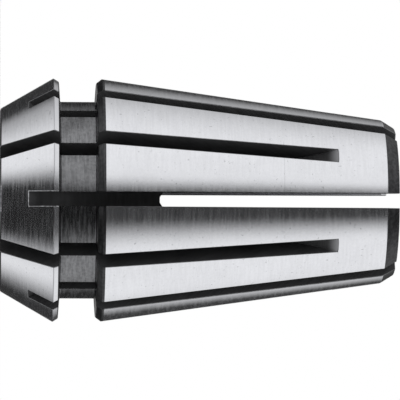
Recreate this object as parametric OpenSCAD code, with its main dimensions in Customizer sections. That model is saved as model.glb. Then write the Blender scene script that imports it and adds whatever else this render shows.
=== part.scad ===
// Spring collet with an 8 degree seat taper, sawn from both ends.
// Every length is in millimetres and every angle in degrees.
// The collet stands on its big face at z = 0, with its axis along +Z towards the small end
// and the middle of a petal, halfway between two slots, on +X.

/* [Overall] */
// Length from the big face to the small face
overall_l = 27.5; // [26:0.1:32]
// Largest diameter, at the nut's ridge
largest_d = 17; // [16:0.1:19]

/* [Nut end] */
// Length of the nut cone, from the big face to the ridge
nut_cone_l = 3.71; // [3.2:0.01:4.4]
// Angle between the nut cone and the axis
nut_cone_angle = 30; // [25:1:35]
// Break on the rim of the big face
rim_break = 0.1; // [0.05:0.01:0.25]
// Length of the slope behind the ridge
ridge_back_l = 0.38; // [0.2:0.02:0.7]
// Fall of the slope behind the ridge, on the radius
ridge_back_fall = 0.24; // [0.1:0.01:0.4]

/* [Puller groove] */
// Width of the groove at its rim, where it is widest
groove_w = 2.61; // [2:0.01:3.5]
// Lean of the groove's walls, from square to the axis
groove_lean = 4; // [0:1:12]
// Diameter of the groove's floor
groove_d = 13.74; // [13:0.02:15]
// Radius in the corners of the groove's floor
groove_corner_r = 0.15; // [0.05:0.01:0.4]

/* [Seat taper] */
// Step down from the ridge to the taper's thick end, on the radius
seat_drop = 0.04; // [0:0.01:0.2]
// Angle between the taper and the axis
taper_angle = 8; // [6:0.5:10]
// Length of the chamfer from the groove to the taper
shoulder_l = 0.37; // [0.2:0.01:0.8]
// Rise of that chamfer, on the radius
shoulder_rise = 0.28; // [0.1:0.02:0.5]
// Length of the chamfer at the small end
tail_l = 0.9; // [0.4:0.05:1.5]
// Angle between that chamfer and the axis
tail_angle = 32; // [20:1:45]

/* [Bore] */
// Diameter of the bore that grips the tool
bore_d = 8; // [7:0.1:9]
// Bevel at the bore's mouth in the big face
mouth_bevel = 0.3; // [0.1:0.05:0.5]
// Bevel at the bore's mouth in the small face
tail_bevel = 0.4; // [0.1:0.05:0.6]

/* [Saw slots] */
// Number of slots sawn from each end
slot_count = 6; // [4:1:7]
// Width of a slot
slot_w = 1; // [0.6:0.05:1.2]
// Diameter of the saw, which leaves its curve at a slot's blind end
saw_d = 40; // [34:1:50]
// Depth that the saw cuts past the wall of the bore
saw_overcut = 0.16; // [0.05:0.01:0.3]
// Length left whole at the big face, in front of the slots that open at the small end
nose_land = 1.98; // [1.5:0.02:2.6]
// Length left whole at the small face, behind the slots that open at the big end
tail_land = 4.25; // [3:0.05:6]

/* [Hidden] */
$fn = 96;

// Margin by which a cutter runs out of the metal
past = 1;
// Length by which the slopes beside the groove run on before the groove is cut
run_on = 0.2;

// Stations along the axis
ridge_z = nut_cone_l;
groove_z = ridge_z + ridge_back_l;
groove_middle_z = groove_z + groove_w / 2;
shoulder_z = groove_z + groove_w;
taper_z = shoulder_z + shoulder_l;
tail_z = overall_l - tail_l;

// Radii of the turned form
largest_r = largest_d / 2;
flange_back_r = largest_r - ridge_back_fall;
groove_r = groove_d / 2;
seat_start_r = largest_r - seat_drop;
shoulder_r = seat_start_r - shoulder_rise;
bore_r = bore_d / 2;

// Radius that the saw reaches at its deepest
saw_r = saw_d / 2;
slot_floor_r = bore_r - saw_overcut;

// Radius of the nut cone at a station
function nut_cone_r(z) = largest_r - (ridge_z - z) * tan(nut_cone_angle);

// Radius of the seat taper at a station
function seat_r(z) = seat_start_r - (z - taper_z) * tan(taper_angle);

// Distance of the groove's wall from the groove's middle at a radius
function groove_half_w(r) = groove_w / 2 - (shoulder_r - r) * tan(groove_lean);

// Length along the axis from the saw's centre to where its rim cuts a given radius
function saw_reach(r) = sqrt(pow(saw_r, 2) - pow(saw_r + slot_floor_r - r, 2));

// Stations of the saw's centre when each set of slots is cut to its full length
rear_saw_z = nose_land + saw_reach(nut_cone_r(nose_land));
front_end_z = overall_l - tail_land;
front_saw_z = front_end_z - saw_reach(seat_r(front_end_z));

// Half section of the turned blank, radius to the right and the axis upwards
module blank_section() {
    face_r = nut_cone_r(0);
    tail_r = seat_r(tail_z);
    polygon([
        [0, 0],
        [face_r - rim_break, 0],
        [nut_cone_r(rim_break), rim_break],
        [largest_r, ridge_z],
        [flange_back_r - run_on * ridge_back_fall / ridge_back_l, groove_z + run_on],
        [shoulder_r - run_on * shoulder_rise / shoulder_l, shoulder_z - run_on],
        [seat_start_r, taper_z],
        [tail_r, tail_z],
        [tail_r - tail_l * tan(tail_angle), overall_l],
        [0, overall_l],
    ]);
}

// Section of the grooving tool's cut, with leaning walls and round corners at the floor
module groove_section() {
    centre_r = groove_r + groove_corner_r;
    centre_z = groove_half_w(centre_r) - groove_corner_r / cos(groove_lean);
    touch_r = centre_r - groove_corner_r * sin(groove_lean);
    touch_z = groove_half_w(touch_r);
    out_r = largest_r + past;
    out_z = groove_half_w(out_r);
    translate([0, groove_middle_z]) {
        polygon([
            [groove_r, -centre_z],
            [touch_r, -touch_z],
            [out_r, -out_z],
            [out_r, out_z],
            [touch_r, touch_z],
            [groove_r, centre_z],
        ]);
        for (side = [-1, 1])
            translate([centre_r, side * centre_z])
                circle(r = groove_corner_r);
    }
}

// Turned and ground form before it is bored and sawn
module blank() {
    rotate_extrude()
        difference() {
            blank_section();
            groove_section();
        }
}

// Bore with a bevel at each mouth
module bore() {
    translate([0, 0, -past])
        cylinder(h = overall_l + 2 * past, r = bore_r);
    translate([0, 0, -past])
        cylinder(h = mouth_bevel + past, r1 = bore_r + mouth_bevel + past, r2 = bore_r);
    translate([0, 0, overall_l - tail_bevel])
        cylinder(h = tail_bevel + past, r1 = bore_r, r2 = bore_r + tail_bevel + past);
}

// One slot as the saw leaves it, from the saw's centre at saw_z out past the face at open_z
module saw_slot(saw_z, open_z) {
    low_z = min(saw_z, open_z);
    rotate([90, 0, 0])
        linear_extrude(height = slot_w, center = true)
            union() {
                translate([slot_floor_r + saw_r, saw_z])
                    circle(r = saw_r);
                translate([slot_floor_r, low_z])
                    square([saw_r, abs(open_z - saw_z)]);
            }
}

// Both sets of slots, each set halfway between the slots of the other, with +X between two slots
module slots() {
    pitch = 360 / slot_count;
    for (i = [0 : slot_count - 1]) {
        rotate([0, 0, pitch * (i + 0.25)])
            saw_slot(front_saw_z, -past);
        rotate([0, 0, pitch * (i + 0.75)])
            saw_slot(rear_saw_z, overall_l + past);
    }
}

module collet() {
    color("silver")
        difference() {
            blank();
            bore();
            slots();
        }
}

collet();
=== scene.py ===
"""Finish, studio and view of a slotted spring collet that grips a round tool shank."""

import logging
import math
from dataclasses import dataclass
from enum import IntEnum

import bmesh
import bpy
from mathutils import Matrix, Vector


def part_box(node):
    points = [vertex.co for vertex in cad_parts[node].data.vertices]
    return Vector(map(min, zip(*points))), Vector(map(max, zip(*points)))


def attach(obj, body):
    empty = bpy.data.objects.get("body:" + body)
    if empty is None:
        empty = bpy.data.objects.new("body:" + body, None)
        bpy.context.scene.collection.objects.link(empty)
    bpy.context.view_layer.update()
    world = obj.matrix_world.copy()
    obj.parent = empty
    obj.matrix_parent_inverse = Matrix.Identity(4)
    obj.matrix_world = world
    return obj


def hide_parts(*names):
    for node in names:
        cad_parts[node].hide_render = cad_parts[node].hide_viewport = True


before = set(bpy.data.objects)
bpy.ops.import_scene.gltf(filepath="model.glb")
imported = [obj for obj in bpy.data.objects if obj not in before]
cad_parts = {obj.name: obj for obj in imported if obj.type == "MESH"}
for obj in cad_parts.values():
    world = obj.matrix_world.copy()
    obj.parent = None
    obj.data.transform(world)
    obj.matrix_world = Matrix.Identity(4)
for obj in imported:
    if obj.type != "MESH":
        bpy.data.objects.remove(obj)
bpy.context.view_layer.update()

# A millimetre in metres
MM = 0.001
# Names of the body and the node in the frame
BODY = "root"
NODE = "collet"
# The collet's axis, from the big face to the small end
AXIS = Vector((0.0, 0.0, 1.0))
# A station past the collet's end, for a mark that a finish doesn't have
NOWHERE = 90.0

# What a bmesh operator takes and gives
Geometry = list[bmesh.types.BMVert | bmesh.types.BMEdge | bmesh.types.BMFace]

log = logging.getLogger("collet")


class Number:
    """A number that varies over a surface, held as one output socket of a node tree."""

    def __init__(self, graph: "Graph", socket: bpy.types.NodeSocket) -> None:
        """Keep the socket and the graph that new maths goes into.

        Args:
            graph: The graph that holds the socket's node.
            socket: The output socket that carries the number.
        """
        self.graph = graph
        self.socket = socket

    def math(self, operation: str, *values: "Number | float") -> "Number":
        """Add one Math node.

        Args:
            operation: The Math node's operation.
            *values: Its inputs, in order.

        Returns:
            The node's result.
        """
        made = self.graph.node("ShaderNodeMath", {"operation": operation}, dict(enumerate(values)))
        return Number(self.graph, made.outputs[0])

    def __add__(self, other: "Number | float") -> "Number":
        """Return the sum."""
        return self.math("ADD", self, other)

    def __radd__(self, other: float) -> "Number":
        """Return the sum with a plain number on the left."""
        return self.math("ADD", other, self)

    def __sub__(self, other: "Number | float") -> "Number":
        """Return the difference."""
        return self.math("SUBTRACT", self, other)

    def __rsub__(self, other: float) -> "Number":
        """Return the difference from a plain number on the left."""
        return self.math("SUBTRACT", other, self)

    def __mul__(self, other: "Number | float") -> "Number":
        """Return the product."""
        return self.math("MULTIPLY", self, other)

    def __rmul__(self, other: float) -> "Number":
        """Return the product with a plain number on the left."""
        return self.math("MULTIPLY", other, self)

    def __neg__(self) -> "Number":
        """Return the number with its sign changed."""
        return self.math("MULTIPLY", self, -1.0)

    def __abs__(self) -> "Number":
        """Return the number without its sign."""
        return self.math("ABSOLUTE", self)

    def root(self) -> "Number":
        """Return the square root."""
        return self.math("SQRT", self)

    def larger(self, other: "Number | float") -> "Number":
        """Return the larger of two numbers."""
        return self.math("MAXIMUM", self, other)

    def rise(self, low: float, high: float) -> "Number":
        """Rise smoothly from 0 to 1.

        Args:
            low: Value up to which the result is 0.
            high: Value from which it is 1.

        Returns:
            The risen number.
        """
        settings = {"interpolation_type": "SMOOTHSTEP"}
        inputs = {"Value": self, "From Min": low, "From Max": high}
        made = self.graph.node("ShaderNodeMapRange", settings, inputs)
        return Number(self.graph, made.outputs["Result"])


class Graph:
    """A node tree that is filled by expressions."""

    def __init__(self, tree: bpy.types.NodeTree) -> None:
        """Empty the tree.

        Args:
            tree: The tree of a material or of the world.
        """
        self.tree = tree
        tree.nodes.clear()

    def node(self, kind: str, settings: dict[str, object],
             inputs: dict[str | int, object]) -> bpy.types.Node:
        """Add one node.

        Args:
            kind: The node's type.
            settings: Its properties, which are set first.
            inputs: A number, a socket or a plain value for each input named.

        Returns:
            The new node.
        """
        made = self.tree.nodes.new(kind)
        for name, value in settings.items():
            setattr(made, name, value)
        for name, value in inputs.items():
            source = value.socket if isinstance(value, Number) else value
            if isinstance(source, bpy.types.NodeSocket):
                self.tree.links.new(source, made.inputs[name])
            else:
                made.inputs[name].default_value = source
        return made

    def parts(self, vector: bpy.types.NodeSocket) -> tuple[Number, Number, Number]:
        """Return a vector's parts along X, Y and Z."""
        split = self.node("ShaderNodeSeparateXYZ", {}, {0: vector})
        return tuple(Number(self, out) for out in split.outputs)

    def noise(self, place: tuple[Number, Number, Number], waves: tuple[float, float, float],
              detail: float) -> Number:
        """Add a noise that varies over a place.

        Args:
            place: The three parts of the place.
            waves: Waves of the noise to the unit, along each part.
            detail: Octaves of finer noise.

        Returns:
            The noise, from 0 to 1.
        """
        spread = {i: place[i] * waves[i] for i in range(3)}
        vector = self.node("ShaderNodeCombineXYZ", {}, spread)
        inputs = {"Vector": vector.outputs[0], "Scale": 1.0, "Detail": detail}
        made = self.node("ShaderNodeTexNoise", {}, inputs)
        return Number(self, made.outputs[0])

    def blend(self, first: tuple[float, float, float], second: tuple[float, float, float],
              factor: Number) -> bpy.types.NodeSocket:
        """Return a colour between two, by a factor from 0 to 1."""
        # The node keeps a set of sockets for each type of data: 6, 7 and the output 2 are colours
        inputs = {0: factor, 6: (*first, 1.0), 7: (*second, 1.0)}
        return self.node("ShaderNodeMix", {"data_type": "RGBA"}, inputs).outputs[2]

    def ray(self, kind: str) -> Number:
        """Return 1 where the surface is met by one kind of ray, as the Light Path node names it."""
        return Number(self, self.node("ShaderNodeLightPath", {}, {}).outputs[kind])


@dataclass(frozen=True)
class Pattern:
    """One noise with no direction, which shows where it rises past a level.

    Attributes:
        waves: Waves to the millimetre.
        detail: Octaves of finer noise.
        shown: Level from which the pattern starts to show, and level at which it is whole.
    """

    waves: float
    detail: float
    shown: tuple[float, float]

    def noise(self, graph: Graph, place: tuple[Number, Number, Number]) -> Number:
        """Return the noise itself, from 0 to 1."""
        return graph.noise(place, (self.waves, self.waves, self.waves), self.detail)

    def over(self, graph: Graph, place: tuple[Number, Number, Number]) -> Number:
        """Return how far the pattern shows at a place, from 0 to 1."""
        return self.noise(graph, place).rise(*self.shown)


CLOUDS = Pattern(waves=0.45, detail=3.0, shown=(0.3, 0.7))
SPOTS = Pattern(waves=2.6, detail=3.0, shown=(0.66, 0.74))
PITS = Pattern(waves=4.5, detail=2.0, shown=(0.68, 0.73))
GRAIN = Pattern(waves=5.0, detail=3.0, shown=(0.35, 0.65))


@dataclass(frozen=True)
class ToolMarks:
    """How the marks and the ring scratch look that run round every turned or ground surface.

    Attributes:
        shown: Level of the marks' noise where they start to show, and where they are whole.
        line_detail: Octaves of finer noise in the marks.
        ripple_detail: Octaves of finer noise in the waves between them.
        ripple_around: Waves along the marks for each wave of the marks.
        share: Share of the marks in the streaks, beside that of the clouds.
        scratch_reach: How far the ring scratch reaches to each side: whole, and at all.
        scratch_end: Length in millimetres over which the scratch fades in.
        scratch_share: Darkness of the scratch, as a share of a pit's.
        spot_roughness: How much rougher the stained spots are.
    """

    shown: tuple[float, float] = (0.3, 0.7)
    line_detail: float = 3.0
    ripple_detail: float = 2.0
    ripple_around: float = 3.0
    share: float = 0.6
    scratch_reach: tuple[float, float] = (0.015, 0.05)
    scratch_end: float = 0.1
    scratch_share: float = 0.6
    spot_roughness: float = 0.05


@dataclass(frozen=True)
class Steel:
    """One finish of hardened steel, with marks that run round the collet's axis.

    Attributes:
        name: The material's name.
        dark: Its darkest grey.
        light: Its lightest grey.
        metallic: Metallic share, which oxide and grime lower.
        smooth: Roughness between the marks.
        rough: Roughness on the marks.
        lines: Fine tool marks to the millimetre across them.
        line_depth: Depth of those marks in millimetres.
        ripple: Shallow waves to the millimetre across the marks.
        ripple_depth: Depth of the waves in millimetres.
        around: Waves to the millimetre along the marks.
        grain_depth: Depth in millimetres of the fine grain, which has no direction.
        grain_tone: Share of the grain in the grey.
        specular: Strength of the gloss where the finish isn't metallic.
        stain: How much darker the stained spots are.
        pitted: How much darker the pits and the ring scratch are.
        base: How far from the darkest to the lightest grey the metal is between its marks.
        contrast: How much further the marks take it.
        painted_light_z: Stations between which painted light lifts the metal to its lightest grey.
        scratch: Station of one fine ring scratch, and how far out towards -Y it starts.
        tool: How its marks look.
    """

    name: str
    dark: tuple[float, float, float]
    light: tuple[float, float, float]
    metallic: float = 1.0
    smooth: float = 0.18
    rough: float = 0.28
    lines: float = 7.0
    line_depth: float = 0.0004
    ripple: float = 2.2
    ripple_depth: float = 0.002
    around: float = 0.3
    grain_depth: float = 0.0
    grain_tone: float = 0.0
    specular: float = 0.5
    stain: float = 0.3
    pitted: float = 0.0
    base: float = 0.0
    contrast: float = 1.0
    painted_light_z: tuple[float, float] = (NOWHERE, NOWHERE + 1.0)
    scratch: tuple[float, float] = (NOWHERE, 0.0)
    tool: ToolMarks = ToolMarks()

    def material(self) -> bpy.types.Material:
        """Make the finish a material.

        Returns:
            The material, which is named as the finish is.
        """
        made = bpy.data.materials.new(self.name)
        made.use_nodes = True
        graph = Graph(made.node_tree)
        where = graph.node("ShaderNodeTexCoord", {}, {}).outputs["Object"]
        place = tuple(part * (1 / MM) for part in graph.parts(where))
        lines, ripple = self._marks(graph, place)
        marks = lines.rise(*self.tool.shown)
        spots = SPOTS.over(graph, place)
        grain = GRAIN.noise(graph, place)
        height = lines * self.line_depth + ripple * self.ripple_depth + grain * self.grain_depth
        bump = graph.node("ShaderNodeBump", {}, {"Height": height, "Strength": 1.0, "Distance": MM})
        roughness = self.smooth + marks * (self.rough - self.smooth)
        inputs = {
            "Base Color": graph.blend(self.dark, self.light, self._tone(graph, place, marks, spots)),
            "Metallic": self.metallic,
            "Specular IOR Level": self.specular,
            "Roughness": roughness + spots * self.tool.spot_roughness,
            "Normal": bump.outputs[0],
        }
        surface = graph.node("ShaderNodeBsdfPrincipled", {}, inputs)
        graph.node("ShaderNodeOutputMaterial", {}, {"Surface": surface.outputs[0]})
        return made

    def _marks(self, graph: Graph, place: tuple[Number, Number, Number]) -> tuple[Number, Number]:
        """Add the fine tool marks and the shallow waves, which run round the axis.

        Args:
            graph: The material's graph.
            place: The place in millimetres.

        Returns:
            The marks and the waves, each from 0 to 1.
        """
        x, y, z = place
        turned = (x, y, z + (x * x + y * y).root())
        along = self.around * self.tool.ripple_around
        lines = graph.noise(turned, (self.around, self.around, self.lines), self.tool.line_detail)
        ripple = graph.noise(turned, (along, along, self.ripple), self.tool.ripple_detail)
        return lines, ripple

    def _tone(self, graph: Graph, place: tuple[Number, Number, Number], marks: Number,
              spots: Number) -> Number:
        """Add the finish's grey, with its streaks, grain, spots, pits, scratch and painted light.

        Args:
            graph: The material's graph.
            place: The place in millimetres.
            marks: How far the tool marks show.
            spots: How far the stained spots show.

        Returns:
            The grey, from 0 at the darkest to 1 at the lightest.
        """
        _, y, z = place
        streaks = marks * self.tool.share + CLOUDS.over(graph, place) * (1 - self.tool.share)
        mottle = streaks + (GRAIN.over(graph, place) - streaks) * self.grain_tone
        tone = (self.base + mottle * self.contrast) * (1 - spots * self.stain)
        station, start = self.scratch
        ring = 1 - abs(z - station).rise(*self.tool.scratch_reach)
        scratch = ring * (-y).rise(start, start + self.tool.scratch_end)
        pits = PITS.over(graph, place).larger(scratch * self.tool.scratch_share)
        tone = tone - pits * self.pitted
        # Painted light: between two stations the grey rises to its lightest
        return tone.larger(z.rise(*self.painted_light_z))


class Zone(IntEnum):
    """Surfaces of the collet by how they are made, in the order of their material slots.

    Attributes:
        GROUND: Ground bright: the nut cone, the ridge's back slope and the seat taper.
        GROOVE: Turned floor and corners of the puller groove.
        CHAMFER: Turned dark: the groove's walls, the chamfers and the rim of the big face.
        SAWN: Walls of the slots that open at the small end.
        FACED: The two flat ends.
        BORE: The bore and the bevels at its mouths.
        EDGE: Broken edges that no other zone takes.
        RIDGE: The edge of the ridge, which the light catches.
        PAINTED_HIGHLIGHT: Patchy painted highlight on the edges round the nose end of one slot.
        RUN_OUT: Walls of the slots that open at the big face, lighter with painted light where the
            saw ran out.
    """

    GROUND = 0
    GROOVE = 1
    CHAMFER = 2
    SAWN = 3
    FACED = 4
    BORE = 5
    EDGE = 6
    RIDGE = 7
    PAINTED_HIGHLIGHT = 8
    RUN_OUT = 9


# Zones that round an edge off
ROUNDED = (Zone.EDGE, Zone.RIDGE, Zone.PAINTED_HIGHLIGHT)
# Zones that the saw leaves, with flat walls
SAW_CUT = (Zone.SAWN, Zone.RUN_OUT)


# Red, green and blue of the steel's faintly cool grey, at a level of 1
TINT = (1.0, 1.01, 1.05)


def grey(level: float) -> tuple[float, float, float]:
    """Return the steel's grey at a level."""
    red, green, blue = TINT
    return (level * red, level * green, level * blue)


FINISHES = {
    Zone.GROUND: Steel(
        "ground_bright", grey(0.2), grey(0.79), smooth=0.13, rough=0.22, ripple_depth=0.0012,
        around=0.6, grain_depth=0.0009, grain_tone=0.2, stain=0.12, pitted=0.3, base=0.84,
        contrast=0.16, scratch=(19.45, 6.2),
    ),
    Zone.GROOVE: Steel(
        "turned_groove", grey(0.1), grey(0.28), smooth=0.2, rough=0.32, lines=8.0,
        line_depth=0.0012, ripple_depth=0.002, around=0.8, grain_depth=0.003, grain_tone=0.25,
    ),
    Zone.CHAMFER: Steel(
        "turned_dark", grey(0.028), grey(0.09), smooth=0.3, rough=0.4, around=0.6, grain_tone=0.4,
    ),
    Zone.SAWN: Steel(
        "sawn_oxide", grey(0.03), grey(0.05), metallic=0.0, smooth=0.5, rough=0.6, around=0.8,
        specular=0.15,
    ),
    Zone.FACED: Steel(
        "faced_end", grey(0.3), grey(0.45), smooth=0.28, rough=0.38, lines=5.0, around=0.12,
    ),
    Zone.BORE: Steel("bored_wall", grey(0.7), grey(0.8), smooth=0.4, rough=0.5),
    Zone.EDGE: Steel("broken_edge", grey(0.12), grey(0.3), smooth=0.3, rough=0.4),
    Zone.RIDGE: Steel("ridge_line", grey(0.35), grey(0.5), smooth=0.25, rough=0.35),
    # Painted highlight: a near-white grey, broken up by stains and grain, on one slot's edges
    Zone.PAINTED_HIGHLIGHT: Steel(
        "painted_highlight_edge", grey(0.05), grey(0.95), metallic=0.5, smooth=0.3, rough=0.4, around=1.5,
        grain_tone=0.5, stain=0.5,
    ),
    # Painted light at the shallow blind ends of the slots from the big face
    Zone.RUN_OUT: Steel(
        "sawn_run_out", grey(0.03), grey(0.24), metallic=0.0, smooth=0.5, rough=0.6, around=0.8,
        specular=0.15, contrast=0.1, painted_light_z=(22.4, 23.4),
    ),
}


@dataclass(frozen=True)
class ColletSizes:
    """Sizes of the collet in millimetres and degrees, with the axis along Z.

    Attributes:
        overall_l: Length from the big face to the small face.
        largest_r: Largest radius, at the ridge.
        nut_cone_l: Length of the nut cone, from the big face to the ridge.
        nut_cone_angle: Angle between the nut cone and the axis.
        rim_break: Break on the rim of the big face.
        ridge_back_l: Length of the slope behind the ridge.
        ridge_back_fall: Fall of that slope, on the radius.
        ridge_ground_l: Length of the part of that slope that is ground bright.
        groove_w: Width of the groove at its rim.
        groove_lean: Lean of the groove's walls, from square to the axis.
        groove_r: Radius of the groove's floor.
        groove_corner_r: Radius in the corners of the groove's floor.
        seat_drop: Step down from the ridge to the taper's thick end, on the radius.
        seat_lead: Length at the taper's thick end that the grinding leaves dark.
        taper_angle: Angle between the taper and the axis.
        shoulder_l: Length of the chamfer from the groove to the taper.
        shoulder_rise: Rise of that chamfer, on the radius.
        tail_l: Length of the chamfer at the small end.
        tail_angle: Angle between that chamfer and the axis.
        bore_r: Radius of the bore.
        mouth_bevel: Bevel at the bore's mouth in the big face.
        tail_bevel: Bevel at the bore's mouth in the small face.
        slot_count: Slots sawn from each end.
        slot_w: Width of a slot.
        saw_r: Radius of the saw.
        saw_overcut: Depth that the saw cuts past the wall of the bore.
        nose_land: Length left whole at the big face, in front of the slots from the small end.
        tail_land: Length left whole at the small face, behind the slots from the big face.
    """

    overall_l: float
    largest_r: float
    nut_cone_l: float = 3.71
    nut_cone_angle: float = 30.0
    rim_break: float = 0.1
    ridge_back_l: float = 0.38
    ridge_back_fall: float = 0.24
    ridge_ground_l: float = 0.31
    groove_w: float = 2.61
    groove_lean: float = 4.0
    groove_r: float = 6.87
    groove_corner_r: float = 0.08
    seat_drop: float = 0.04
    seat_lead: float = 0.16
    taper_angle: float = 8.0
    shoulder_l: float = 0.37
    shoulder_rise: float = 0.28
    tail_l: float = 0.9
    tail_angle: float = 32.0
    bore_r: float = 4.0
    mouth_bevel: float = 0.3
    tail_bevel: float = 0.4
    slot_count: int = 6
    slot_w: float = 1.0
    saw_r: float = 20.0
    saw_overcut: float = 0.16
    nose_land: float = 1.98
    tail_land: float = 4.25

    @classmethod
    def from_frame(cls) -> "ColletSizes":
        """Take the length and the largest radius from the frame.

        Returns:
            The sizes, with the others at their own values.
        """
        low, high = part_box(NODE)
        corners = (vertex.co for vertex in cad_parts[NODE].data.vertices)
        reach = max(math.hypot(corner.x, corner.y) for corner in corners)
        return cls(overall_l=(high.z - low.z) / MM, largest_r=reach / MM)

    @property
    def groove_z(self) -> float:
        """Station of the groove's wall towards the nut."""
        return self.nut_cone_l + self.ridge_back_l

    @property
    def shoulder_z(self) -> float:
        """Station of the groove's wall towards the small end."""
        return self.groove_z + self.groove_w

    @property
    def taper_z(self) -> float:
        """Station of the seat taper's thick end."""
        return self.shoulder_z + self.shoulder_l

    @property
    def tail_z(self) -> float:
        """Station where the chamfer at the small end starts."""
        return self.overall_l - self.tail_l

    @property
    def slot_floor_r(self) -> float:
        """Radius that the saw reaches at its deepest."""
        return self.bore_r - self.saw_overcut

    @property
    def rear_saw_z(self) -> float:
        """Station of the saw's centre at the end of a slot that opens at the small end."""
        return self.nose_land + self.saw_reach(self.nut_cone_r(self.nose_land))

    @property
    def front_saw_z(self) -> float:
        """Station of the saw's centre at the end of a slot that opens at the big end."""
        end_z = self.overall_l - self.tail_land
        return end_z - self.saw_reach(self.seat_r(end_z))

    @property
    def groove_corner_run(self) -> float:
        """Length that a round corner of the groove's floor takes of the floor."""
        return self.groove_corner_r * math.tan(math.radians(45.0 - self.groove_lean / 2))

    @property
    def seat_start_r(self) -> float:
        """Radius of the seat taper's thick end."""
        return self.largest_r - self.seat_drop

    @property
    def flange_back_r(self) -> float:
        """Radius of the groove's rim towards the nut."""
        return self.largest_r - self.ridge_back_fall

    @property
    def shoulder_r(self) -> float:
        """Radius of the groove's rim towards the small end."""
        return self.seat_start_r - self.shoulder_rise

    def groove_reach(self, r: float) -> float:
        """Return the distance of the groove's walls from its middle at a radius."""
        return self.groove_w / 2 - (self.shoulder_r - r) * math.tan(math.radians(self.groove_lean))

    def nut_cone_r(self, z: float) -> float:
        """Return the nut cone's radius at a station."""
        return self.largest_r - (self.nut_cone_l - z) * math.tan(math.radians(self.nut_cone_angle))

    def seat_r(self, z: float) -> float:
        """Return the seat taper's radius at a station."""
        return self.seat_start_r - (z - self.taper_z) * math.tan(math.radians(self.taper_angle))

    def saw_reach(self, r: float) -> float:
        """Return the length along the axis from the saw's centre to where its rim cuts a radius."""
        return math.sqrt(self.saw_r**2 - (self.saw_r + self.slot_floor_r - r) ** 2)

    def half_section(self) -> list[tuple[float, float]]:
        """Work out the turned form's half section.

        Returns:
            Its corners in order, each as its radius and station.
        """
        tail_r = self.seat_r(self.tail_z)
        groove_middle = self.groove_z + self.groove_w / 2
        foot = self.groove_reach(self.groove_r)
        ground_fall = self.ridge_back_fall * self.ridge_ground_l / self.ridge_back_l
        return [
            (self.bore_r, self.mouth_bevel),
            (self.bore_r + self.mouth_bevel, 0.0),
            (self.nut_cone_r(0.0) - self.rim_break, 0.0),
            (self.nut_cone_r(self.rim_break), self.rim_break),
            (self.largest_r, self.nut_cone_l),
            (self.largest_r - ground_fall, self.nut_cone_l + self.ridge_ground_l),
            (self.flange_back_r, groove_middle - self.groove_reach(self.flange_back_r)),
            (self.groove_r, groove_middle - foot),
            (self.groove_r, groove_middle + foot),
            (self.shoulder_r, self.shoulder_z),
            (self.seat_start_r, self.taper_z),
            (self.seat_r(self.taper_z + self.seat_lead), self.taper_z + self.seat_lead),
            (tail_r, self.tail_z),
            (tail_r - self.tail_l * math.tan(math.radians(self.tail_angle)), self.overall_l),
            (self.bore_r + self.tail_bevel, self.overall_l),
            (self.bore_r, self.overall_l - self.tail_bevel),
        ]


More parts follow.
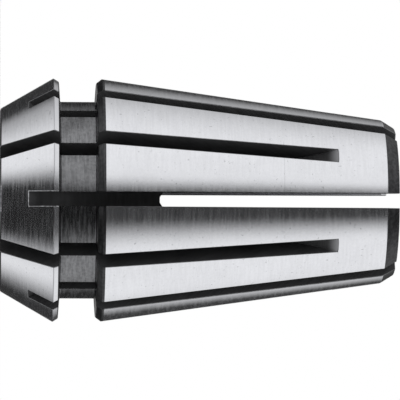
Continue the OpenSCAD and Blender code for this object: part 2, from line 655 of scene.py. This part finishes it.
@dataclass
class Collet:
    """The collet's body: a turned and bored blank, sawn from both ends, with its edges broken.

    Attributes:
        sizes: Sizes of the real collet.
        cell: Turns in degrees and their steps, across one slot from petal middle to petal middle.
        corner_steps: Steps round a corner of the groove's floor.
        front_first: Direction of the first slot from the big face, in pitches from +X.
        rear_first: The same for the slots from the small end.
        saw_steps: Steps along the arc that the saw leaves.
        margin: Length in millimetres by which the saw runs out of the metal.
        edge_w: Width in millimetres of the break on a sharp edge.
        edge_steps: Steps across that break.
        edge_angle: Smallest turn in degrees between two faces that makes an edge sharp.
        feather_angle: Turn past which the metal at an edge is too thin to break.
        highlight_z: Station up to which one slot's edges carry a painted highlight.
        highlight_at: Direction of that slot in degrees from +X.
        highlight_spread: Degrees to each side that belong to it.
        weld: Distance in millimetres within which two corners are one.
        flat_angle: Largest turn in degrees between faces that count as one flat face.
        square_share: Share of a normal along the axis from which its face counts as square to it.
        edge_weight: Weight of a broken edge's own faces in its normals, beside 1 for its neighbours.
    """

    sizes: ColletSizes
    cell: tuple[tuple[float, int], ...] = (
        (7.0, 5), (1.7, 1), (3.8, 1), (5.0, 1), (3.8, 1), (1.7, 1), (7.0, 5),
    )
    corner_steps: int = 6
    front_first: float = 0.25
    rear_first: float = 0.75
    saw_steps: int = 44
    margin: float = 1.0
    edge_w: float = 0.04
    edge_steps: int = 2
    edge_angle: float = 20.0
    feather_angle: float = 140.0
    highlight_z: float = 11.0
    highlight_at: float = -75.0
    highlight_spread: float = 8.0
    weld: float = 0.0005
    flat_angle: float = 0.2
    square_share: float = 0.9
    edge_weight: float = 0.0005

    def build(self) -> bpy.types.Object:
        """Turn, bore and saw the piece, and break its edges.

        Returns:
            The finished piece, in metres, with its place in its mesh.
        """
        materials = [FINISHES[zone].material() for zone in Zone]
        s = self.sizes
        blank = self._object("blank", self._blank(), materials)
        pitch = 360.0 / s.slot_count
        sets = (
            (Zone.RUN_OUT, s.front_saw_z, -self.margin, pitch * self.front_first),
            (Zone.SAWN, s.rear_saw_z, s.overall_l + self.margin, pitch * self.rear_first),
        )
        spare = [blank]
        for zone, saw_z, open_z, first in sets:
            cuts = self._saw_cuts(zone, saw_z, open_z, first)
            cutter = self._object(zone.name, cuts, materials)
            cut = blank.modifiers.new(zone.name, "BOOLEAN")
            cut.operation = "DIFFERENCE"
            cut.solver = "EXACT"
            cut.material_mode = "INDEX"
            cut.object = cutter
            spare.append(cutter)
        sawn = bmesh.new()
        sawn.from_object(blank, bpy.context.evaluated_depsgraph_get())
        self._break_edges(sawn)
        piece = self._object("spring_collet", sawn, materials)
        self._true_normals(piece.data)
        piece.data.transform(Matrix.Scale(MM, 4))
        for done in spare:
            bpy.data.objects.remove(done)
        return piece

    def _object(self, name: str, bm: bmesh.types.BMesh,
                materials: list[bpy.types.Material]) -> bpy.types.Object:
        """Add an object that holds a mesh to the scene.

        Args:
            name: Name of the object and of its mesh.
            bm: The mesh, which is freed.
            materials: Its materials, in the order of the zones.

        Returns:
            The object.
        """
        mesh = bpy.data.meshes.new(name)
        bm.to_mesh(mesh)
        bm.free()
        for material in materials:
            mesh.materials.append(material)
        made = bpy.data.objects.new(name, mesh)
        bpy.context.scene.collection.objects.link(made)
        return made

    def _spin(self, bm: bmesh.types.BMesh, geom: Geometry, centre: Vector, axis: Vector,
              degrees: float, steps: int, copies: bool = False) -> Geometry:
        """Sweep or copy geometry round an axis.

        Args:
            bm: The mesh.
            geom: What is swept or copied.
            centre: A point on the axis.
            axis: The axis's direction.
            degrees: The whole turn.
            steps: Steps of the turn.
            copies: Whether each step is a loose copy.

        Returns:
            What the last step made.
        """
        spun = bmesh.ops.spin(
            bm, geom=geom, cent=centre, axis=axis, dvec=(0, 0, 0), angle=math.radians(degrees),
            steps=steps, use_merge=False, use_normal_flip=False, use_duplicate=copies,
        )
        return spun["geom_last"]

    def _blank(self) -> bmesh.types.BMesh:
        """Spin the turned and bored form from its half section.

        Returns:
            The form, with its zones set.
        """
        s = self.sizes
        bm = bmesh.new()
        loop = [bm.verts.new((r, 0.0, z)) for r, z in s.half_section()]
        for i, vertex in enumerate(loop):
            bm.edges.new((loop[i - 1], vertex))
        floor_corners = [v for v in loop if abs(v.co.x - s.groove_r) < self.weld]
        bmesh.ops.bevel(
            bm, geom=floor_corners, offset=s.groove_corner_run, offset_type="OFFSET",
            affect="VERTICES", segments=self.corner_steps, profile=0.5, material=-1,
        )
        geom = bm.verts[:] + bm.edges[:]
        for _ in range(2 * s.slot_count):
            for degrees, steps in self.cell:
                geom = self._spin(bm, geom, Vector(), AXIS, degrees, steps)
        bmesh.ops.remove_doubles(bm, verts=bm.verts[:], dist=self.weld)
        bmesh.ops.recalc_face_normals(bm, faces=bm.faces[:])
        for face in bm.faces:
            face.material_index = self._zone(face)
        return bm

    def _zone(self, face: bmesh.types.BMFace) -> Zone:
        """Tell how one face of the blank is made, by its place.

        Args:
            face: The face.

        Returns:
            Its zone.
        """
        s = self.sizes
        middle = face.calc_center_median()
        square = abs(face.normal.z) > self.square_share
        if s.rim_break < middle.z < s.tail_z and square:
            return Zone.CHAMFER
        if square:
            return Zone.FACED
        if face.normal.x * middle.x + face.normal.y * middle.y < 0:
            return Zone.BORE
        if s.groove_z < middle.z < s.shoulder_z:
            return Zone.GROOVE
        rough = (
            (0.0, s.rim_break), (s.nut_cone_l + s.ridge_ground_l, s.taper_z + s.seat_lead),
            (s.tail_z, s.overall_l),
        )
        return Zone.CHAMFER if any(low < middle.z < high for low, high in rough) else Zone.GROUND

    def _saw_cuts(self, zone: Zone, saw_z: float, open_z: float, first: float) -> bmesh.types.BMesh:
        """Make one end's set of saw cuts.

        Args:
            zone: The zone that the cuts leave.
            saw_z: Station of the saw's centre at the end of its feed.
            open_z: Station past the face that the saw enters.
            first: Angle of the first cut in degrees from +X.

        Returns:
            The cuts, as closed solids.
        """
        s = self.sizes
        bm = bmesh.new()
        side = -s.slot_w / 2
        centre = Vector((s.slot_floor_r + s.saw_r, side, saw_z))
        exit_r = s.largest_r + self.margin
        sweep = math.degrees(math.acos((centre.x - exit_r) / s.saw_r))
        turn = math.copysign(sweep, saw_z - open_z)
        start = bm.verts.new((s.slot_floor_r, side, saw_z))
        last = self._spin(bm, [start], centre, Vector((0, 1, 0)), turn, self.saw_steps)
        exit_vertex = next(item for item in last if isinstance(item, bmesh.types.BMVert))
        above = bm.verts.new((exit_r, side, open_z))
        below = bm.verts.new((s.slot_floor_r, side, open_z))
        for pair in ((exit_vertex, above), (above, below), (below, start)):
            bm.edges.new(pair)
        outline = bmesh.ops.contextual_create(bm, geom=bm.edges[:])["faces"]
        raised = bmesh.ops.extrude_face_region(bm, geom=outline)["geom"]
        moved = [item for item in raised if isinstance(item, bmesh.types.BMVert)]
        bmesh.ops.translate(bm, verts=moved, vec=(0, s.slot_w, 0))
        turned = Matrix.Rotation(math.radians(first), 3, "Z")
        bmesh.ops.rotate(bm, verts=bm.verts[:], cent=(0, 0, 0), matrix=turned)
        geom = bm.verts[:] + bm.edges[:] + bm.faces[:]
        copies = s.slot_count - 1
        self._spin(bm, geom, Vector(), AXIS, 360.0 * copies / s.slot_count, copies, copies=True)
        bmesh.ops.recalc_face_normals(bm, faces=bm.faces[:])
        for face in bm.faces:
            face.material_index = zone
        return bm

    def _break_edges(self, bm: bmesh.types.BMesh) -> None:
        """Weld the cut form, join its flat faces and break its sharp outer edges.

        Args:
            bm: The form as the saw leaves it.
        """
        bmesh.ops.remove_doubles(bm, verts=bm.verts[:], dist=self.weld)
        bmesh.ops.dissolve_limit(
            bm, angle_limit=math.radians(self.flat_angle), use_dissolve_boundaries=False,
            verts=bm.verts[:], edges=bm.edges[:], delimit={"MATERIAL"},
        )
        low, high = math.radians(self.edge_angle), math.radians(self.feather_angle)
        sharp = [
            edge for edge in bm.edges
            if edge.is_convex and low < edge.calc_face_angle(0.0) < high and self._outer(edge)
        ]
        broken = bmesh.ops.bevel(
            bm, geom=sharp, offset=self.edge_w, offset_type="OFFSET", affect="EDGES",
            segments=self.edge_steps, profile=0.5, material=-1, clamp_overlap=False,
        )
        for face in broken["faces"]:
            face.material_index = self._edge_zone(face.calc_center_median())
        bmesh.ops.remove_doubles(bm, verts=bm.verts[:], dist=self.weld)

    def _outer(self, edge: bmesh.types.BMEdge) -> bool:
        """Return whether an edge lies off the wall of the bore."""
        reach = max(math.hypot(vertex.co.x, vertex.co.y) for vertex in edge.verts)
        return reach > self.sizes.bore_r + self.edge_w

    def _edge_zone(self, middle: Vector) -> Zone:
        """Tell what a broken edge looks like, by its place on the collet.

        Args:
            middle: The middle of one of its faces.

        Returns:
            The zone.
        """
        s = self.sizes
        reach = math.hypot(middle.x, middle.y)
        if abs(middle.z - s.nut_cone_l) < self.edge_w and reach > s.largest_r - 2 * self.edge_w:
            return Zone.RIDGE
        if s.groove_z < middle.z < s.shoulder_z and reach < s.groove_r + self.edge_w:
            return Zone.GROOVE
        if s.nut_cone_l + s.ridge_ground_l < middle.z < s.taper_z + s.seat_lead + self.edge_w:
            return Zone.CHAMFER
        if abs(middle.z - s.tail_z) < 2 * self.edge_w:
            return Zone.GROUND
        # The edges round the nose end of one slot get a painted highlight
        turn = math.degrees(math.atan2(middle.y, middle.x)) - self.highlight_at
        highlighted = abs(turn) < self.highlight_spread and middle.z < self.highlight_z
        return Zone.PAINTED_HIGHLIGHT if highlighted else Zone.EDGE

    def _true_normals(self, mesh: bpy.types.Mesh) -> None:
        """Give each turned face the normals of its true cone, and round the broken edges.

        Args:
            mesh: The finished mesh, in millimetres.
        """
        mesh.shade_smooth()
        gathered = [Vector() for _ in mesh.vertices]
        for face in mesh.polygons:
            weight = self.edge_weight if face.material_index in ROUNDED else 1.0
            for index in face.vertices:
                gathered[index] += self._corner_normal(face, mesh.vertices[index].co) * weight
        normals = []
        for face in mesh.polygons:
            for index in face.vertices:
                if face.material_index in ROUNDED:
                    normals.append(gathered[index].normalized())
                else:
                    normals.append(self._corner_normal(face, mesh.vertices[index].co))
        mesh.normals_split_custom_set(normals)

    def _corner_normal(self, face: bpy.types.MeshPolygon, corner: Vector) -> Vector:
        """Work out the normal of the true surface that a face stands for.

        Args:
            face: The face.
            corner: One of its corners.

        Returns:
            The true surface's normal at that corner.
        """
        if face.material_index in SAW_CUT or face.material_index in ROUNDED:
            return face.normal.copy()
        radial = math.hypot(face.normal.x, face.normal.y)
        if face.normal.x * corner.x + face.normal.y * corner.y < 0:
            radial = -radial
        outwards = Vector((corner.x, corner.y, 0.0)).normalized()
        return (outwards * radial + AXIS * face.normal.z).normalized()


@dataclass(frozen=True)
class PhotoView:
    """Camera at the collet's side, rolled so that the axis runs across the picture.

    Attributes:
        azimuth: Direction from the axis to the camera, in degrees from +X.
        distance: Distance from the axis in millimetres.
        height: Station of the camera along the axis in millimetres.
        aim: Station of the point on the axis that the camera looks at.
        aim_up: Distance of that point from the axis, upwards in the picture.
        fall: Fall of the axis to the right in the picture, in degrees.
        lens: Focal length in millimetres.
    """

    azimuth: float = 285.8
    distance: float = 267.83
    height: float = 0.297
    aim: float = 13.996
    aim_up: float = 0.0655
    fall: float = 0.284
    lens: float = 345.3

    @property
    def towards(self) -> Vector:
        """Direction from the axis to the camera."""
        angle = math.radians(self.azimuth)
        return Vector((math.cos(angle), math.sin(angle), 0.0))

    @property
    def upwards(self) -> Vector:
        """Direction that points up in the picture."""
        return self.towards.cross(AXIS)

    def build(self) -> bpy.types.Object:
        """Place the camera and make it the scene's own.

        Returns:
            The camera.
        """
        place = self.towards * self.distance + AXIS * self.height
        target = AXIS * self.aim + self.upwards * self.aim_up
        back = (place - target).normalized()
        right = self.upwards.cross(back).normalized()
        up = back.cross(right)
        turn = Matrix((right, up, back)).transposed().to_4x4()
        roll = Matrix.Rotation(math.radians(self.fall), 4, "Z")
        data = bpy.data.cameras.new("photo_view")
        data.lens = self.lens
        camera = bpy.data.objects.new("photo_view", data)
        camera.matrix_world = Matrix.Translation(place * MM) @ turn @ roll
        bpy.context.scene.collection.objects.link(camera)
        bpy.context.scene.camera = camera
        return camera


@dataclass(frozen=True)
class Studio:
    """White surroundings with a dark gap at the camera, and a pale floor.

    The polished faces show the gap as the dark band that runs along the collet. A place in the
    surroundings is given by how far its direction points upwards in the picture, along the axis
    towards the small end, or towards the back, each from -1 to 1. Two places in one field are
    where a change starts and where it ends.

    Attributes:
        view: The camera's place, which the gap is set by.
        gap_level: Brightness in the gap.
        gap_tilt: Share of that brightness that the gap loses towards the nose.
        upper_edge: Upper edge of the gap, upwards.
        lower_edge: Its lower edge, downwards.
        upper_lead: How much sooner the light above starts, but for directions to the nose.
        lead_from: Where that lead comes in, along the axis.
        level_delay: How much later the light below starts, where the groove's floor shows it.
        level_band: How far off square to the axis that delay fades out.
        nose_delay: How much later the light below starts, where the nut cone shows it.
        nose_band: Where that delay comes in, along the axis towards the nose.
        upper_falls: Falls of the light above towards the back: start, end and the share left.
        lower_falls: The same below.
        upper_tilt: How much sooner the light above falls off towards the nose.
        lower_tilt: The same below.
        small_end: Where the light past the small end comes in, along the axis.
        big_end: The same past the big face, towards the nose.
        end_level: Brightness of the light past both ends.
        rear_from: Where the strip of light behind comes in, towards the back.
        rear_strip: How far to each side that strip fades out.
        rear_level: Brightness of that strip.
        floor_size: Side of the floor in metres.
        floor_grey: The floor's colour.
    """

    view: PhotoView
    gap_level: float = 0.045
    gap_tilt: float = 0.6
    upper_edge: tuple[float, float] = (0.17, 0.49)
    lower_edge: tuple[float, float] = (0.25, 0.76)
    upper_lead: float = 0.07
    lead_from: tuple[float, float] = (-0.3, -0.1)
    level_delay: float = 0.28
    level_band: tuple[float, float] = (0.05, 0.22)
    nose_delay: float = 0.16
    nose_band: tuple[float, float] = (0.7, 0.8)
    upper_falls: tuple[tuple[float, float, float], ...] = ((-0.3, 0.8, 0.4), (0.6, 0.9, 0.03))
    lower_falls: tuple[tuple[float, float, float], ...] = ((0.1, 1.1, 0.05),)
    upper_tilt: float = 0.9
    lower_tilt: float = 1.2
    small_end: tuple[float, float] = (0.93, 0.98)
    big_end: tuple[float, float] = (0.94, 0.965)
    end_level: float = 0.9
    rear_from: tuple[float, float] = (0.2, 0.5)
    rear_strip: tuple[float, float] = (0.1, 0.24)
    rear_level: float = 0.5
    floor_size: float = 6.0
    floor_grey: float = 0.97

    def build(self) -> bpy.types.Object:
        """Light the scene and return its floor."""
        self._light()
        return self._floor()

    def _light(self) -> None:
        """Set the world: plain white, with the gap and the fall-off seen only by gloss."""
        world = bpy.data.worlds.new("studio")
        bpy.context.scene.world = world
        world.use_nodes = True
        # Sampled as a lamp, the world would light gloss in plain white, without the gap
        world.cycles.sampling_method = "NONE"
        graph = Graph(world.node_tree)
        where = graph.node("ShaderNodeTexCoord", {}, {}).outputs["Generated"]
        x, y, z = graph.parts(where)
        towards = self.view.towards
        upwards = self.view.upwards
        up = x * upwards.x + y * upwards.y
        back = -(x * towards.x + y * towards.y)
        above = (up + z.rise(*self.lead_from) * self.upper_lead).rise(*self.upper_edge)
        above = self._fall(above, back * (1 - z * self.upper_tilt), self.upper_falls)
        delay = (1 - abs(z).rise(*self.level_band)) * self.level_delay
        delay = delay + (-z).rise(*self.nose_band) * self.nose_delay
        below = (-up - delay).rise(*self.lower_edge)
        below = self._fall(below, back * (1 - z * self.lower_tilt), self.lower_falls)
        ends = z.rise(*self.small_end).larger((-z).rise(*self.big_end)) * self.end_level
        gap = (1 + z * self.gap_tilt) * self.gap_level
        rear = back.rise(*self.rear_from) * (1 - abs(up).rise(*self.rear_strip)) * self.rear_level
        light = above.larger(below).larger(ends).larger(rear).larger(gap)
        seen = 1 - graph.ray("Is Glossy Ray") * (1 - light)
        colour = graph.blend((0.0, 0.0, 0.0), (1.0, 1.0, 1.0), seen)
        shade = graph.node("ShaderNodeBackground", {}, {"Color": colour, "Strength": 1.0})
        graph.node("ShaderNodeOutputWorld", {}, {"Surface": shade.outputs[0]})

    def _fall(self, light: Number, back: Number,
              falls: tuple[tuple[float, float, float], ...]) -> Number:
        """Let a light fall off towards the back.

        Args:
            light: The light before it falls off.
            back: How far a direction points away from the camera, from -1 to 1.
            falls: The start, the end and the share left of each fall.

        Returns:
            The light that is left.
        """
        for start, end, left in falls:
            light = light * (1 - back.rise(start, end) * (1 - left))
        return light

    def _floor(self) -> bpy.types.Object:
        """Make the floor, which takes the collet's shadow and which gloss sees through.

        Returns:
            The floor.
        """
        bm = bmesh.new()
        bmesh.ops.create_grid(bm, x_segments=1, y_segments=1, size=self.floor_size / 2)
        mesh = bpy.data.meshes.new("floor")
        bm.to_mesh(mesh)
        bm.free()
        material = bpy.data.materials.new("pale_floor")
        material.use_nodes = True
        graph = Graph(material.node_tree)
        inputs = {
            "Base Color": (self.floor_grey, self.floor_grey, self.floor_grey, 1.0),
            "Roughness": 1.0,
            "Specular IOR Level": 0.0,
            "Emission Color": (1.0, 1.0, 1.0, 1.0),
            "Emission Strength": 1.0 - self.floor_grey,
        }
        matt = graph.node("ShaderNodeBsdfPrincipled", {}, inputs)
        clear = graph.node("ShaderNodeBsdfTransparent", {}, {})
        inputs = {0: graph.ray("Is Glossy Ray"), 1: matt.outputs[0], 2: clear.outputs[0]}
        seen = graph.node("ShaderNodeMixShader", {}, inputs)
        graph.node("ShaderNodeOutputMaterial", {}, {"Surface": seen.outputs[0]})
        mesh.materials.append(material)
        floor = bpy.data.objects.new("floor", mesh)
        bpy.context.scene.collection.objects.link(floor)
        return floor


def main() -> None:
    """Build the studio, the camera and the collet."""
    logging.basicConfig(level=logging.INFO, format="%(message)s")
    bpy.context.scene.view_settings.view_transform = "Standard"
    view = PhotoView()
    view.build()
    Studio(view).build()
    piece = Collet(ColletSizes.from_frame()).build()
    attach(piece, BODY)
    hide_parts(NODE)
    log.info("%s: %d faces", piece.name, len(piece.data.polygons))


if __name__ == "__main__":
    main()
